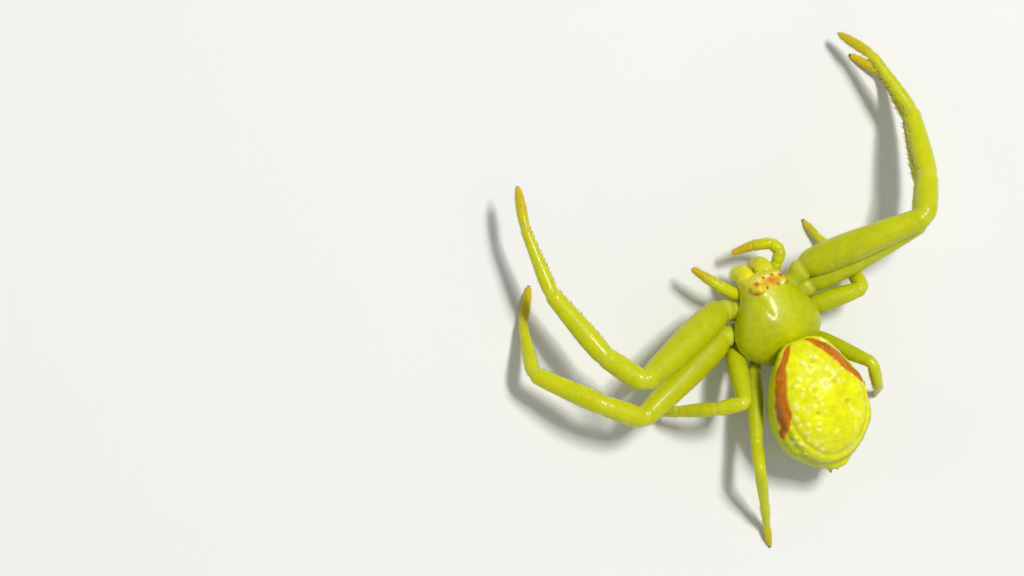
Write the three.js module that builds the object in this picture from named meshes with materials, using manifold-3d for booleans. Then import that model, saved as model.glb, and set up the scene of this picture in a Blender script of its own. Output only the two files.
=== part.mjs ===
// Crab spider, adult female, life size, standing in ambush with its two front pairs of legs spread.
// Millimetres, +Z up. The spider looks along -Y and its own left is +X.
import * as THREE from 'three';
import { mergeVertices } from 'three/addons/utils/BufferGeometryUtils.js';
import Module from 'manifold-3d';

const wasm = await Module();
wasm.setup();

// Driving dimensions

const CARAPACE_RIM_Z = 1.95;
const EYE_HILL_X = 0.6;
const EYE_HILL_Y = -1.3;
const EYE_HILL_HEIGHT = 0.14;
const EYE_HILL_SPREAD = 0.17;
const HEAD_ROLL_DEG = -5;  // the shell leans to the spider's right
const HEAD_TURN_DEG = -3;  // and looks slightly to the right

// Carapace sections from face to rear: place along Y, half width, top and bottom height, and how
// square the section is (1 is an ellipse, less is squarer).
const CARAPACE_SECTIONS = [
  { at: -1.88, half: 0.6, top: 2.3, bottom: 1.86, square: 0.75 },
  { at: -1.82, half: 0.74, top: 2.6, bottom: 1.8, square: 0.74 },
  { at: -1.68, half: 0.83, top: 2.86, bottom: 1.74, square: 0.74 },
  { at: -1.45, half: 0.88, top: 3.02, bottom: 1.7, square: 0.75 },
  { at: -1.1, half: 1.02, top: 3.1, bottom: 1.7, square: 0.79 },
  { at: -0.7, half: 1.34, top: 3.16, bottom: 1.7, square: 0.85 },
  { at: -0.2, half: 1.68, top: 3.2, bottom: 1.7, square: 0.9 },
  { at: 0.35, half: 1.84, top: 3.16, bottom: 1.7, square: 0.93 },
  { at: 0.85, half: 1.74, top: 3.0, bottom: 1.7, square: 0.95 },
  { at: 1.25, half: 1.42, top: 2.72, bottom: 1.71, square: 0.96 },
  { at: 1.55, half: 1.0, top: 2.42, bottom: 1.74, square: 0.97 },
  { at: 1.72, half: 0.64, top: 2.18, bottom: 1.78, square: 0.98 },
  { at: 1.8, half: 0.36, top: 2.06, bottom: 1.84, square: 1.0 },
];

const ABDOMEN_FRONT_Y = 1.07;
const ABDOMEN_TURN_DEG = 3;
const ABDOMEN_SHIFT_X = -0.02;
const ABDOMEN_WAIST = 0.53;      // where a section is widest, as a share of its height

const LEG_SIDES = 12;
const PART_GAP = 0.1;      // between two pieces of a leg
const BODY_GAP = 0.06;     // round the shell, the abdomen and the coxae
const EYE_GAP = 0.03;      // round an eye in its socket
const SOLE_Z = 0;          // all six standing feet end flat on this level
const FOOT_SINK = 0.05;    // how far a toe's underside would pass the floor before it is cut flat
const CLAW_LENGTH = 0.17;
const CLAW_RADIUS = 0.035;

// Abdomen sections from front to rear: distance back, half width, top and bottom height.
const ABDOMEN_SECTIONS = [
  { at: 0.0, half: 0.5, top: 3.38, bottom: 3.06 },
  { at: 0.14, half: 0.84, top: 3.66, bottom: 2.98 },
  { at: 0.45, half: 1.14, top: 3.9, bottom: 2.8 },
  { at: 0.9, half: 1.42, top: 4.1, bottom: 2.0 },
  { at: 1.57, half: 1.75, top: 4.26, bottom: 1.34 },
  { at: 2.37, half: 1.97, top: 4.3, bottom: 1.02 },
  { at: 3.07, half: 1.99, top: 4.17, bottom: 0.95 },
  { at: 3.77, half: 1.82, top: 3.87, bottom: 1.02 },
  { at: 4.37, half: 1.4, top: 3.43, bottom: 1.22 },
  { at: 4.77, half: 0.91, top: 2.99, bottom: 1.5 },
  { at: 4.99, half: 0.5, top: 2.66, bottom: 1.78 },
  { at: 5.17, half: 0.3, top: 2.46, bottom: 1.98 },
];

// Radius along each leg segment, as fraction of its length and radius, for the first pair.
const FEMUR_RADII = [
  [0, 0.45], [0.06, 0.55], [0.18, 0.61], [0.4, 0.605], [0.68, 0.53], [0.88, 0.45], [1, 0.41],
];
const PATELLA_RADII = [[0, 0.42], [0.5, 0.45], [1, 0.4]];
const TIBIA_RADII = [[0, 0.4], [0.3, 0.43], [0.7, 0.38], [1, 0.32]];
const METATARSUS_RADII = [[0, 0.29], [0.3, 0.28], [0.75, 0.22], [1, 0.2]];
const TARSUS_RADII = [[0, 0.19], [0.4, 0.21], [0.8, 0.18], [1, 0.12]];
const COXA_RADII = [[0, 0.25], [0.35, 0.36], [0.56, 0.39], [0.64, 0.35], [0.8, 0.43], [1, 0.43]];
const LEG_FLATTEN = 0.9;   // height of a section over its width

const PAIR_STOUT = { 1: 1.0, 2: 0.96, 3: 0.67, 4: 0.56 };
const PAIR_TIP_STOUT = { 1: 1.0, 2: 0.96, 3: 0.78, 4: 0.72 };

// Each leg: where the coxa leaves the breastplate, where the femur starts, then the lengths, headings
// and slopes of femur, patella, tibia, metatarsus and tarsus. Heading 0 is forward, +90 the spider's
// left. A standing leg has no slope for its tarsus, which is turned down until it meets the floor.
const LEGS = [
  { name: 'leg_1_left', pair: 1, coxa: [0.68, -0.66, 1.3], root: [1.8, -1.2, 2.0],
    lengths: [4.85, 1.8, 3.15, 2.7, 1.5], heading: [105, 29, 14, -4, -18], slope: [16, -14, -7, -2, -8] },
  { name: 'leg_1_right', pair: 1, coxa: [-0.68, -0.66, 1.3], root: [-2.02, -1.36, 2.1],
    lengths: [5.1, 1.8, 3.15, 2.7, 1.5], heading: [-93, -37, -23, 8, 24], slope: [23, -19, -26, -7, -29] },
  { name: 'leg_2_left', pair: 2, coxa: [0.78, -0.1, 1.25], root: [2.15, -0.2, 1.78],
    lengths: [4.8, 1.7, 3.0, 2.5, 1.45], heading: [108, 49, 38, -25, -39], slope: [8, 10, -20, -33, null] },
  { name: 'leg_2_right', pair: 2, coxa: [-0.78, -0.1, 1.25], root: [-2.12, -0.7, 1.6],
    lengths: [4.97, 1.7, 2.9, 2.38, 1.45], heading: [-87, -37, -22, -9, 34],
    slope: [17, -18, -19, -30, null] },
  { name: 'leg_3_left', pair: 3, coxa: [0.76, 0.44, 1.22], root: [1.88, 0.5, 1.5],
    lengths: [2.6, 1.1, 1.6, 1.05, 0.8], heading: [153, 76, 65, 60, 105], slope: [35, -21, -43, -60, null] },
  { name: 'leg_3_right', pair: 3, coxa: [-0.76, 0.44, 1.22], root: [-1.8, 0.18, 1.36],
    lengths: [2.2, 0.95, 1.35, 0.8, 0.8], heading: [-96, -10, 5, 15, 10], slope: [19, -38, -35, -30, null] },
  { name: 'leg_4_left', pair: 4, coxa: [0.56, 0.92, 1.22], root: [1.4, 1.42, 1.42],
    lengths: [3.1, 1.15, 1.8, 1.2, 0.9], heading: [151, 154, 181, 182, 172],
    slope: [14, 22, -44, -48, null] },
  { name: 'leg_4_right', pair: 4, coxa: [-0.56, 0.92, 1.22], root: [-1.4, 1.3, 1.5],
    lengths: [2.95, 1.15, 1.5, 0.78, 0.8], heading: [-153, -175, -105, -114, -159],
    slope: [47, -39, -69, -70, null] },
];

const PALP_RADII = [[0, 0.2], [0.2, 0.24], [0.5, 0.245], [0.8, 0.21], [1, 0.12]];
const PALPS = [
  { name: 'palp_left', path: [[0.66, -1.3, 1.5], [0.89, -1.48, 1.75], [1.44, -2.1, 1.9],
    [2.02, -3.03, 1.75]] },
  { name: 'palp_right', path: [[-0.8, -1.5, 1.5], [-1.2, -1.94, 1.75], [-1.5, -2.3, 1.9],
    [-1.3, -2.71, 1.8], [-0.62, -2.93, 1.6], [0.1, -2.98, 1.4]] },
];

const EYES = [
  { name: 'eye_front_middle', x: 0.19, y: -1.62, radius: 0.06 },
  { name: 'eye_rear_middle', x: 0.24, y: -1.22, radius: 0.052 },
  { name: 'eye_front_side', x: 0.54, y: -1.5, radius: 0.075 },
  { name: 'eye_rear_side', x: 0.68, y: -1.16, radius: 0.062 },
];

const LEG_COLOUR = 0xa9aa22;
const FOOT_COLOUR = 0xb8a22c;
const SHELL_COLOUR = 0xa3a41c;
const ABDOMEN_COLOUR = 0xe0dc1e;
const EYE_COLOUR = 0x2a1a08;
const FANG_COLOUR = 0x9c7a2a;

// Shape helpers

const RAD = Math.PI / 180;
const vec = (x, y, z) => new THREE.Vector3(x, y, z);

// Closed body through rings of equal count, each end closed to its middle.
function loft(rings) {
  const count = rings[0].length;
  const positions = [];
  const index = [];
  for (const ring of rings) for (const p of ring) positions.push(p.x, p.y, p.z);
  for (let r = 0; r + 1 < rings.length; r += 1) {
    for (let k = 0; k < count; k += 1) {
      const a = r * count + k;
      const b = r * count + ((k + 1) % count);
      index.push(a, b, a + count, b, b + count, a + count);
    }
  }
  for (const end of [0, rings.length - 1]) {
    const middle = vec(0, 0, 0);
    for (const p of rings[end]) middle.addScaledVector(p, 1 / count);
    const m = positions.length / 3;
    positions.push(middle.x, middle.y, middle.z);
    for (let k = 0; k < count; k += 1) {
      const a = end * count + k;
      const b = end * count + ((k + 1) % count);
      if (end === 0) index.push(b, a, m); else index.push(a, b, m);
    }
  }
  return faceOutward(positions, index);
}

function faceOutward(positions, index) {
  let volume = 0;
  const p = (i) => vec(positions[3 * i], positions[3 * i + 1], positions[3 * i + 2]);
  for (let i = 0; i < index.length; i += 3) {
    volume += p(index[i]).dot(p(index[i + 1]).cross(p(index[i + 2])));
  }
  for (let i = 0; volume < 0 && i < index.length; i += 3) {
    [index[i], index[i + 1]] = [index[i + 1], index[i]];
  }
  const geometry = new THREE.BufferGeometry();
  geometry.setAttribute('position', new THREE.Float32BufferAttribute(positions, 3));
  geometry.setIndex(index);
  return geometry;
}

function toSolid(geometry) {
  const bare = geometry.clone();
  bare.deleteAttribute('normal');
  bare.deleteAttribute('uv');
  const merged = mergeVertices(bare, 1e-4);
  return new wasm.Manifold(new wasm.Mesh({
    numProp: 3,
    vertProperties: new Float32Array(merged.attributes.position.array),
    triVerts: new Uint32Array(merged.index.array),
  }));
}

// The largest closed surface of a solid, as a geometry.
function toGeometry(solid) {
  const pieces = solid.decompose();
  let largest = pieces[0];
  for (const piece of pieces) if (piece.volume() > largest.volume()) largest = piece;
  const mesh = largest.getMesh();
  const geometry = new THREE.BufferGeometry();
  const stride = mesh.numProp;
  const positions = [];
  for (let i = 0; i < mesh.vertProperties.length; i += stride) {
    positions.push(mesh.vertProperties[i], mesh.vertProperties[i + 1], mesh.vertProperties[i + 2]);
  }
  geometry.setAttribute('position', new THREE.Float32BufferAttribute(positions, 3));
  geometry.setIndex(Array.from(mesh.triVerts));
  return geometry;
}

function between(table, t) {
  for (let i = 0; i + 1 < table.length; i += 1) {
    const [t0, v0] = table[i];
    const [t1, v1] = table[i + 1];
    if (t <= t1) return v0 + ((v1 - v0) * (t - t0)) / (t1 - t0);
  }
  return table[table.length - 1][1];
}

function direction(headingDeg, slopeDeg) {
  const h = headingDeg * RAD;
  const s = slopeDeg * RAD;
  return vec(Math.sin(h) * Math.cos(s), -Math.cos(h) * Math.cos(s), Math.sin(s));
}

// Ring round a limb at a point: the offsets stand square to the limb and slide along it onto the
// plane with the given normal, so that two lengths meet in one mitre plane.
function limbRing(point, along, normal, radius, flatten, sides) {
  const side = along.clone().cross(vec(0, 0, 1)).normalize();
  const up = side.clone().cross(along).normalize();
  const ring = [];
  for (let k = 0; k < sides; k += 1) {
    const a = (2 * Math.PI * k) / sides;
    const offset = side.clone().multiplyScalar(Math.cos(a) * radius)
      .addScaledVector(up, Math.sin(a) * radius * flatten);
    offset.addScaledVector(along, -offset.dot(normal) / along.dot(normal));
    ring.push(point.clone().add(offset));
  }
  return ring;
}

// A limb through joint points; each length has its own radius table. gapStart and gapEnd pull the end
// faces back from the first and last joint. before and after are the neighbours' directions.
function limb(points, tables, options = {}) {
  const { before, after, gapStart = 0, gapEnd = 0, flatten = LEG_FLATTEN, sides = LEG_SIDES } = options;
  const dirs = points.slice(1).map((p, i) => p.clone().sub(points[i]).normalize());
  const mitre = (a, b) => a.clone().add(b).normalize();
  const rings = [];
  for (let i = 0; i < dirs.length; i += 1) {
    const length = points[i + 1].distanceTo(points[i]);
    const previous = i > 0 ? dirs[i - 1] : before;
    const next = i + 1 < dirs.length ? dirs[i + 1] : after;
    const startNormal = previous ? mitre(previous, dirs[i]) : dirs[i];
    const endNormal = next ? mitre(dirs[i], next) : dirs[i];
    const table = tables[i];
    for (let k = 0; k < table.length; k += 1) {
      const [t, radius] = table[k];
      const last = k === table.length - 1;
      if (last && i + 1 < dirs.length) continue;
      let normal = dirs[i];
      let where = points[i].clone().addScaledVector(dirs[i], length * t);
      if (k === 0) {
        normal = startNormal;
        if (i === 0) where.addScaledVector(startNormal, gapStart);
      }
      if (last) {
        normal = endNormal;
        where.addScaledVector(endNormal, -gapEnd);
      }
      rings.push(limbRing(where, dirs[i], normal, radius, flatten, sides));
    }
  }
  return loft(rings);
}

const scaled = (table, factor) => table.map(([t, r]) => [t, r * factor]);

// Bodies of sections

function power(value, exponent) {
  return Math.sign(value) * Math.abs(value) ** exponent;
}

// Smooth curve through one named size of a list of sections.
function smooth(sections, key, at) {
  let i = 0;
  while (i + 2 < sections.length && at > sections[i + 1].at) i += 1;
  const slopeAt = (j) => {
    const a = sections[Math.max(0, j - 1)];
    const b = sections[Math.min(sections.length - 1, j + 1)];
    return (b[key] - a[key]) / (b.at - a.at);
  };
  const width = sections[i + 1].at - sections[i].at;
  const t = (at - sections[i].at) / width;
  const t2 = t * t;
  const t3 = t2 * t;
  return sections[i][key] * (2 * t3 - 3 * t2 + 1) + slopeAt(i) * width * (t3 - 2 * t2 + t)
    + sections[i + 1][key] * (3 * t2 - 2 * t3) + slopeAt(i + 1) * width * (t3 - t2);
}

// Carapace

const CARAPACE_SEGMENTS = 36;
const CARAPACE_RINGS = 24;
const FACE_Y = CARAPACE_SECTIONS[0].at;
const REAR_Y = CARAPACE_SECTIONS[CARAPACE_SECTIONS.length - 1].at;

const headPose = new THREE.Matrix4().makeRotationZ(HEAD_TURN_DEG * RAD)
  .multiply(new THREE.Matrix4().makeTranslation(0, 0, CARAPACE_RIM_Z))
  .multiply(new THREE.Matrix4().makeRotationY(HEAD_ROLL_DEG * RAD))
  .multiply(new THREE.Matrix4().makeTranslation(0, 0, -CARAPACE_RIM_Z));

function eyeHills(x, y) {
  let rise = 0;
  for (const side of [-1, 1]) {
    const dx = (x - side * EYE_HILL_X) / EYE_HILL_SPREAD;
    const dy = (y - EYE_HILL_Y) / (EYE_HILL_SPREAD * 1.5);
    rise += EYE_HILL_HEIGHT * Math.exp(-dx * dx - dy * dy);
  }
  return rise;
}

function carapaceHeight(x, y) {
  const half = smooth(CARAPACE_SECTIONS, 'half', y);
  const top = smooth(CARAPACE_SECTIONS, 'top', y);
  const square = smooth(CARAPACE_SECTIONS, 'square', y);
  const n = 2 / square;
  const across = Math.min(1, Math.abs(x) / half);
  return CARAPACE_RIM_Z + (top - CARAPACE_RIM_Z) * (1 - across ** n) ** (1 / n) + eyeHills(x, y);
}

function carapaceSolid(grow) {
  const rings = [];
  for (let r = 0; r <= CARAPACE_RINGS; r += 1) {
    const t = r / CARAPACE_RINGS;
    const y = FACE_Y + (REAR_Y - FACE_Y) * (t - (0.11 * Math.sin(2 * Math.PI * t)) / 2);
    const half = smooth(CARAPACE_SECTIONS, 'half', y) + grow;
    const top = smooth(CARAPACE_SECTIONS, 'top', y) + grow;
    const bottom = smooth(CARAPACE_SECTIONS, 'bottom', y) - grow;
    const square = smooth(CARAPACE_SECTIONS, 'square', y);
    rings.push(Array.from({ length: CARAPACE_SEGMENTS }, (_, k) => {
      const a = (2 * Math.PI * k) / CARAPACE_SEGMENTS;
      const c = Math.cos(a);
      const s = Math.sin(a);
      const x = half * power(c, s > 0 ? square : 0.7);
      const reach = s > 0 ? top - CARAPACE_RIM_Z : CARAPACE_RIM_Z - bottom;
      const z = CARAPACE_RIM_Z + reach * power(s, s > 0 ? square : 0.7);
      return vec(x, y + grow * (2 * t - 1), z + (s > 0 ? eyeHills(x, y) * Math.min(1, 3 * s) : 0));
    }));
  }
  const shell = loft(rings);
  shell.applyMatrix4(headPose);
  return toSolid(shell);
}

// Abdomen

const ABDOMEN_SEGMENTS = 32;
const ABDOMEN_RINGS = 26;

function abdomenSolid(grow) {
  const total = ABDOMEN_SECTIONS[ABDOMEN_SECTIONS.length - 1].at;
  const rings = [];
  for (let r = 0; r <= ABDOMEN_RINGS; r += 1) {
    const t = r / ABDOMEN_RINGS;
    const back = total * (t - (0.055 * Math.sin(4 * Math.PI * t)) / 2);
    const half = smooth(ABDOMEN_SECTIONS, 'half', back) + grow;
    const top = smooth(ABDOMEN_SECTIONS, 'top', back) + grow;
    const bottom = smooth(ABDOMEN_SECTIONS, 'bottom', back) - grow;
    const push = grow * (2 * t - 1);
    rings.push(Array.from({ length: ABDOMEN_SEGMENTS }, (_, k) => {
      const a = (2 * Math.PI * k) / ABDOMEN_SEGMENTS;
      const middle = bottom + ABDOMEN_WAIST * (top - bottom);
      const reach = Math.sin(a) > 0 ? top - middle : middle - bottom;
      return vec(half * power(Math.cos(a), 0.9), back + push, middle + reach * power(Math.sin(a), 0.9));
    }));
  }
  const turned = loft(rings);
  turned.rotateZ(-ABDOMEN_TURN_DEG * RAD);
  turned.translate(ABDOMEN_SHIFT_X, ABDOMEN_FRONT_Y, 0);
  return toSolid(turned);
}

// Assembly

const group = new THREE.Group();

function addPart(name, geometry, color, roughness) {
  geometry.computeVertexNormals();
  const mesh = new THREE.Mesh(geometry, new THREE.MeshStandardMaterial({ color, roughness, metalness: 0 }));
  mesh.name = name;
  group.add(mesh);
}

const carapaceGrown = carapaceSolid(BODY_GAP);
const abdomenGrown = abdomenSolid(BODY_GAP);

let carapace = carapaceSolid(0);
for (const eye of EYES) {
  for (const [sideName, side] of [['left', 1], ['right', -1]]) {
    const place = vec(side * eye.x, eye.y, carapaceHeight(side * eye.x, eye.y) - 0.1 * eye.radius)
      .applyMatrix4(headPose);
    const socket = new THREE.IcosahedronGeometry(eye.radius + EYE_GAP, 2);
    socket.translate(place.x, place.y, place.z);
    carapace = carapace.subtract(toSolid(socket));
    const ball = new THREE.IcosahedronGeometry(eye.radius, 2);
    ball.translate(place.x, place.y, place.z);
    addPart(`${eye.name}_${sideName}`, toGeometry(toSolid(ball)), EYE_COLOUR, 0.15);
  }
}
addPart('carapace', toGeometry(carapace), SHELL_COLOUR, 0.35);
addPart('abdomen', toGeometry(abdomenSolid(0).subtract(carapaceGrown)), ABDOMEN_COLOUR, 0.4);

// The narrow waist runs from the shell's rear end into the front of the abdomen.
const WAIST_RADII = [[0, 0.3], [0.5, 0.26], [1, 0.3]];
const waist = toSolid(limb([vec(0, 1.2, 1.98), vec(0.06, 2.6, 2.1)], [WAIST_RADII], { sides: 14 }));
addPart('pedicel', toGeometry(waist.subtract(carapaceGrown).subtract(abdomenGrown)), SHELL_COLOUR, 0.5);

// Breastplate: a heart-shaped shield between the coxae.
const STERNUM_FRONT = -0.92;
const STERNUM_REAR = 1.25;
const STERNUM_HALF = 0.6;
const STERNUM_LOW = 0.98;
const STERNUM_HIGH = 1.6;
const STERNUM_RINGS = 10;
const STERNUM_SIDES = 14;
const sternumRings = [];
for (let r = 0; r <= STERNUM_RINGS; r += 1) {
  const t = r / STERNUM_RINGS;
  const y = STERNUM_FRONT + (STERNUM_REAR - STERNUM_FRONT) * t;
  const half = STERNUM_HALF * Math.max(0.12, Math.sin(Math.PI * Math.min(1, 0.2 + 0.8 * t)) ** 0.7);
  const drop = (STERNUM_HIGH - STERNUM_LOW) * (0.6 + 0.4 * Math.sin(Math.PI * t));
  sternumRings.push(Array.from({ length: STERNUM_SIDES }, (_, k) => {
    const a = (2 * Math.PI * k) / STERNUM_SIDES;
    return vec(half * Math.cos(a), y, STERNUM_HIGH - drop * 0.5 * (1 - Math.sin(a)));
  }));
}
addPart('sternum', loft(sternumRings), SHELL_COLOUR, 0.5);

// Jaws: two stout blunt lobes in front of the face, each with a short fang folded inward.
const JAW_RADII = [
  [[0, 0.39], [0.55, 0.4], [1, 0.38]],
  [[0, 0.38], [0.5, 0.385], [1, 0.37]],
  [[0, 0.36], [0.5, 0.32], [0.85, 0.24], [1, 0.15]],
];
for (const [sideName, side] of [['left', 1], ['right', -1]]) {
  const base = vec(side * 0.4 - 0.07, -1.55, 2.0);
  const brow = vec(side * 0.42 - 0.08, -2.02, 1.98);
  const lip = vec(side * 0.41 - 0.08, -2.16, 1.5);
  const foot = vec(side * 0.34 - 0.06, -2.12, 1.0);
  const jaw = toSolid(limb([base, brow, lip, foot], JAW_RADII, { flatten: 0.95, sides: 14 }))
    .subtract(carapaceGrown);
  const fang = new THREE.ConeGeometry(0.06, 0.42, 7);
  fang.rotateZ(side * 70 * RAD);
  fang.translate(side * 0.2 - 0.06, -2.12, 0.97);
  addPart(`chelicera_${sideName}`, toGeometry(jaw.add(toSolid(fang))), SHELL_COLOUR, 0.4);
}

// Mouthparts under the face: two lobes and the lip between them.
const LIP_RADII = [[0, 0.2], [0.5, 0.22], [1, 0.12]];
const LOBE_RADII = [[0, 0.14], [0.35, 0.2], [0.75, 0.18], [1, 0.09]];
let mouth = toSolid(limb([vec(-0.02, -1.02, 1.28), vec(-0.02, -1.42, 1.34)], [LIP_RADII]));
for (const side of [-1, 1]) {
  const lobe = limb([vec(side * 0.28, -1.02, 1.3), vec(side * 0.2, -1.66, 1.36)], [LOBE_RADII]);
  mouth = mouth.add(toSolid(lobe));
}
addPart('mouthparts', toGeometry(mouth), SHELL_COLOUR, 0.5);

for (const palp of PALPS) {
  const points = palp.path.map(([x, y, z]) => vec(x, y, z));
  const tables = points.slice(1).map((_, i) => {
    const n = points.length - 1;
    return [0, 0.5, 1].map((t) => [t, between(PALP_RADII, (i + t) / n)]);
  });
  const body = toSolid(limb(points, tables, { flatten: 0.95, sides: 12 })).subtract(carapaceGrown);
  addPart(palp.name, toGeometry(body), LEG_COLOUR, 0.4);
}

// Spinnerets: a small tuft of cones under the rear tip of the abdomen.
const SPINNERET_RADII = [[0, 0.13], [0.6, 0.12], [0.9, 0.08], [1, 0.04]];
const SPINNERETS_BACK = 4.74;   // from the abdomen's front end
const SPINNERETS_Z = 1.78;
const spinneretSpots = [[0.12, 0.0, 0.5], [-0.12, 0.0, 0.5], [0.1, -0.14, 0.42], [-0.1, -0.14, 0.42]];
let spinnerets = null;
const tipX = ABDOMEN_SHIFT_X + SPINNERETS_BACK * Math.sin(ABDOMEN_TURN_DEG * RAD);
const tipY = ABDOMEN_FRONT_Y + SPINNERETS_BACK * Math.cos(ABDOMEN_TURN_DEG * RAD);
for (const [dx, dz, length] of spinneretSpots) {
  const start = vec(tipX + dx * 0.9, tipY, SPINNERETS_Z + dz);
  const end = start.clone().add(vec(dx * 0.4, length, -0.16));
  const cone = toSolid(limb([start, end], [SPINNERET_RADII], { flatten: 1, sides: 9 }));
  spinnerets = spinnerets ? spinnerets.add(cone) : cone;
}
addPart('spinnerets', toGeometry(spinnerets.subtract(abdomenGrown)), FANG_COLOUR, 0.5);

// Legs

const floorBox = new THREE.BoxGeometry(60, 60, 4);
floorBox.translate(0, 0, SOLE_Z - 2);
const floor = toSolid(floorBox);

const grown = {};   // slightly thicker front legs, which the next pair is pressed against

for (const leg of LEGS) {
  const stout = PAIR_STOUT[leg.pair];
  const tipStout = PAIR_TIP_STOUT[leg.pair];
  const points = [vec(...leg.root)];
  const toeRadius = TARSUS_RADII[TARSUS_RADII.length - 1][1] * tipStout;
  for (let i = 0; i < 5; i += 1) {
    const from = points[points.length - 1];
    let slope = leg.slope[i];
    if (slope === null) {
      const toe = SOLE_Z + toeRadius - FOOT_SINK;
      slope = Math.asin((toe - from.z) / leg.lengths[i]) / RAD;
    }
    points.push(from.clone().addScaledVector(direction(leg.heading[i], slope), leg.lengths[i]));
  }
  const dirs = points.slice(1).map((p, i) => p.clone().sub(points[i]).normalize());
  const hip = vec(...leg.coxa);
  const hipDir = points[0].clone().sub(hip).normalize();
  const half = PART_GAP / 2;

  const hipTable = scaled(COXA_RADII, stout > 0.9 ? stout : stout * 1.15);
  const femurTable = scaled(FEMUR_RADII, stout);
  let coxa = toSolid(limb([hip, points[0]], [hipTable], { after: dirs[0], gapEnd: half }))
    .subtract(carapaceGrown);
  let femur = toSolid(limb([points[0], points[1]], [femurTable],
    { before: hipDir, after: dirs[1], gapStart: half, gapEnd: half }));
  const flank = leg.name.endsWith('left') ? 'left' : 'right';
  if (leg.pair === 1) {
    const thicker = (table) => table.map(([t, r]) => [t, r + BODY_GAP]);
    grown[flank] = toSolid(limb([hip, points[0], points[1]], [thicker(hipTable), thicker(femurTable)]));
  }
  if (leg.pair === 2) {
    coxa = coxa.subtract(grown[flank]);
    femur = femur.subtract(grown[flank]);
  }
  if (leg.pair > 2) femur = femur.subtract(abdomenGrown);
  addPart(`${leg.name}_coxa`, toGeometry(coxa), SHELL_COLOUR, 0.45);
  addPart(`${leg.name}_femur`, toGeometry(femur), LEG_COLOUR, 0.4);

  addPart(`${leg.name}_shin`, limb([points[1], points[2], points[3]],
    [scaled(PATELLA_RADII, stout), scaled(TIBIA_RADII, stout)],
    { before: dirs[0], after: dirs[3], gapStart: half, gapEnd: half }), LEG_COLOUR, 0.4);

  let foot = toSolid(limb([points[3], points[4], points[5]],
    [scaled(METATARSUS_RADII, tipStout), scaled(TARSUS_RADII, tipStout)],
    { before: dirs[2], gapStart: half }));
  const side = dirs[4].clone().cross(vec(0, 0, 1)).normalize();
  for (const s of [-1, 1]) {
    const rootPoint = points[5].clone().addScaledVector(dirs[4], -0.06).addScaledVector(side, s * 0.035);
    const bend = rootPoint.clone().addScaledVector(dirs[4], CLAW_LENGTH * 0.7).add(vec(0, 0, 0.03));
    const point = bend.clone().addScaledVector(dirs[4], CLAW_LENGTH * 0.4).add(vec(0, 0, -0.06));
    foot = foot.add(toSolid(limb([rootPoint, bend, point], [[[0, CLAW_RADIUS], [1, CLAW_RADIUS]],
      [[0, CLAW_RADIUS * 0.8], [1, CLAW_RADIUS * 0.25]]], { flatten: 1, sides: 5 })));
  }
  addPart(`${leg.name}_foot`, toGeometry(foot.subtract(floor)), FOOT_COLOUR, 0.45);
}

// Origin: middle of the model's outline, on the floor

const box = new THREE.Box3().setFromObject(group);
const shiftX = -0.5 * (box.min.x + box.max.x);
const shiftY = -0.5 * (box.min.y + box.max.y);
for (const mesh of group.children) mesh.position.set(shiftX, shiftY, 0);

export default group;
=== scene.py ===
# Adult female crab spider at life size, standing in ambush on a plain pale floor.
# Shapes are worked out in millimetres in the spider's own frame: it looks along -Y, its left is +X.
import math
import bpy
import numpy as np
from mathutils import Matrix, Vector


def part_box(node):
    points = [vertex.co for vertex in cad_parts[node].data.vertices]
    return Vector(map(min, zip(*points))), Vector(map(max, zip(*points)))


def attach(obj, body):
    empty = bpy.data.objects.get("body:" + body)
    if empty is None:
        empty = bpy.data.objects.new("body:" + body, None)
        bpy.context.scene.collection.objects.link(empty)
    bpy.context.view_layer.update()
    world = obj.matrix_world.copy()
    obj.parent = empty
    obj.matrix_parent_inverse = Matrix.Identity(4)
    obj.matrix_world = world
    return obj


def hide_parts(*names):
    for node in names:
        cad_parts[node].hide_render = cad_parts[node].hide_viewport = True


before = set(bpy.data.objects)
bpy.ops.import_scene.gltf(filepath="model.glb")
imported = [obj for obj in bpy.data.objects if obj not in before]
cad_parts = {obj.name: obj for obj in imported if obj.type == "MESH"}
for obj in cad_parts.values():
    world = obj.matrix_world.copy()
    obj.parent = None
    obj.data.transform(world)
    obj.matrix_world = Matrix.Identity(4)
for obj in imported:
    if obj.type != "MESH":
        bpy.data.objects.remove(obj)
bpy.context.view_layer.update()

MM = 0.001
CARAPACE_MIDDLE_X = 0.019   # the middle of the carapace's box in the spider's own frame
CARAPACE_MIDDLE_Y = -0.046

low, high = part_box("carapace")
SHIFT = np.array([
    0.5 * (low.x + high.x) / MM - CARAPACE_MIDDLE_X,
    0.5 * (low.y + high.y) / MM - CARAPACE_MIDDLE_Y,
    0.0,
])

# Sizes that the solids have too

CARAPACE_RIM_Z = 1.95
EYE_HILL_X = 0.6
EYE_HILL_Y = -1.3
EYE_HILL_HEIGHT = 0.14
EYE_HILL_SPREAD = 0.17
HEAD_ROLL = math.radians(-5)
HEAD_TURN = math.radians(-3)
CARAPACE_UNDER_SQUARE = 0.7
CARAPACE_SECTIONS = np.array([
    # along, half width, top, bottom, squareness
    (-1.88, 0.6, 2.3, 1.86, 0.75),
    (-1.82, 0.74, 2.6, 1.8, 0.74),
    (-1.68, 0.83, 2.86, 1.74, 0.74),
    (-1.45, 0.88, 3.02, 1.7, 0.75),
    (-1.1, 1.02, 3.1, 1.7, 0.79),
    (-0.7, 1.34, 3.16, 1.7, 0.85),
    (-0.2, 1.68, 3.2, 1.7, 0.9),
    (0.35, 1.84, 3.16, 1.7, 0.93),
    (0.85, 1.74, 3.0, 1.7, 0.95),
    (1.25, 1.42, 2.72, 1.71, 0.96),
    (1.55, 1.0, 2.42, 1.74, 0.97),
    (1.72, 0.64, 2.18, 1.78, 0.98),
    (1.8, 0.36, 2.06, 1.84, 1.0),
])

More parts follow.
